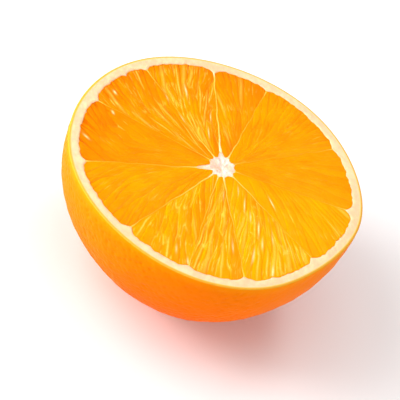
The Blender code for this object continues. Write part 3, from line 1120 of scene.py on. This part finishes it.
# Its section from the middle of its root, over its side, to the middle that shows
SCAR_WIDTHS = (0.3, 0.65, 0.9, 1.0, 1.0, 0.85, 0.55, 0.25)
SCAR_HEIGHTS = (0.0, 0.0, 0.0, 0.3, 0.75, 1.0, 0.85, 1.0)
SCAR_COLUMNS = 40
# Its soft corners: height and number; and its lumps: length, height and seed
SCAR_CORNERS = (0.08, 3)
SCAR_LUMPS = (0.0004, 0.00008, 5)
CORK_DARK = (0.16, 0.085, 0.02, 1)
CORK_LIGHT = (0.45, 0.30, 0.10, 1)


def scar_piece():
    """A low lumpy button, closed above and below."""
    angle = even_angles(SCAR_COLUMNS)
    height, count = SCAR_CORNERS
    rings = []
    for radius, z in zip(SCAR_WIDTHS, SCAR_HEIGHTS):
        ring = polar(angle, SCAR_PIECE_RADIUS * radius, SCAR_ROOT_Z - z * SCAR_PIECE_HEIGHT)
        ring[:, 0] *= 1 + height * np.cos(count * angle)
        ring[:, 2] += rough_heights(ring, *SCAR_LUMPS)
        rings.append(ring)
    points = np.concatenate(rings + [[(0, 0, SCAR_ROOT_Z)], [(0, 0, SCAR_MIDDLE_Z)]])
    return new_piece("scar", points, stitched(rings))


def scar_material():
    """Dry brown cork, matt and grainy."""
    made, make = new_material("scar")
    cork = make.cloud(lumps=1800, detail=4)
    return finished(
        made,
        Base_Color=make.mix(cork.between(0.3, 0.7), CORK_DARK, CORK_LIGHT),
        Roughness=cork * 0.2 + 0.65,
        Normal=make.bump(strength=0.8, distance=0.0002, height=cork),
        IOR=1.4,
    )


scar = scar_piece()
scar.data.materials.append(scar_material())
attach(scar, "root")
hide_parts("orange_half")

# Table: the plain white top that the half rests on. It's one matt sheet, level at z = 0, and wide
# enough that no edge of it shows.
TABLE_SIZE = 3.0
TABLE_WHITE = (0.93, 0.93, 0.93, 1)
TABLE_BRIGHT = (0.95, 0.95, 0.95, 1)


def table_top():
    """A level square with its own material."""
    mesh = bpy.data.meshes.new("table")
    s = TABLE_SIZE / 2
    mesh.from_pydata([(-s, -s, 0), (s, -s, 0), (s, s, 0), (-s, s, 0)], [], [(0, 1, 2, 3)])
    table = bpy.data.objects.new("table", mesh)
    bpy.context.scene.collection.objects.link(table)
    made, make = new_material("table")
    white = make.mix(make.cloud(lumps=6, detail=1), TABLE_WHITE, TABLE_BRIGHT)
    mesh.materials.append(finished(made, Base_Color=white, Roughness=0.9, Specular_IOR_Level=0.0))
    return table


table_top()

# Light: soft panels in a dim, even, white room. A large one hangs high at the left, one overhead and
# a small one behind, for the wet glints; a strong low one stands at the left, a weak low one at the
# right. Each row: name, place, size in metres and power in watts.
LIGHTS = (
    ("key", (-0.40, -0.12, 0.44), 0.42, 2.1),
    ("top", (0.02, 0.00, 0.68), 0.50, 1.0),
    ("back", (0.10, 0.42, 0.62), 0.22, 0.9),
    ("left", (-0.63, -0.17, 0.18), 0.34, 5.1),
    ("right", (0.64, -0.24, 0.22), 0.40, 1.2),
)
LIGHT_TARGET = Vector((0, 0, 0.02))
ROOM_BRIGHTNESS = 0.38


def soft_light(name, place, size, power):
    """A square panel that faces the half."""
    lamp = bpy.data.lights.new(name, "AREA")
    lamp.size = size
    lamp.energy = power
    made = bpy.data.objects.new(name, lamp)
    made.location = place
    made.rotation_mode = "QUATERNION"
    made.rotation_quaternion = (LIGHT_TARGET - Vector(place)).to_track_quat("-Z", "Y")
    bpy.context.scene.collection.objects.link(made)


for light in LIGHTS:
    soft_light(*light)
world = bpy.data.worlds.new("room")
world.use_nodes = True
room = world.node_tree.nodes["Background"]
room.inputs["Color"].default_value = (1, 1, 1, 1)
room.inputs["Strength"].default_value = ROOM_BRIGHTNESS
bpy.context.scene.world = world
bpy.context.scene.view_settings.view_transform = "Standard"

# Camera: a long lens that looks down on the cut face from in front. It's rolled to one side, so the
# half shows tilted.
CAMERA_ELEVATION = math.radians(43)
CAMERA_ROLL = math.radians(25.8)
CAMERA_DISTANCE = 0.70
CAMERA_LENS = 250.0
CAMERA_TARGET = Vector((-0.0005, -0.0006, 0.0253))

camera = bpy.data.objects.new("camera", bpy.data.cameras.new("camera"))
camera.data.lens = CAMERA_LENS
camera.data.sensor_width = 36.0
back = Vector((0, -math.cos(CAMERA_ELEVATION), math.sin(CAMERA_ELEVATION)))
camera.location = CAMERA_TARGET + back * CAMERA_DISTANCE
camera.rotation_mode = "QUATERNION"
camera.rotation_quaternion = (-back).to_track_quat("-Z", "Y") @ Quaternion((0, 0, 1), CAMERA_ROLL)
bpy.context.scene.collection.objects.link(camera)
bpy.context.scene.camera = camera
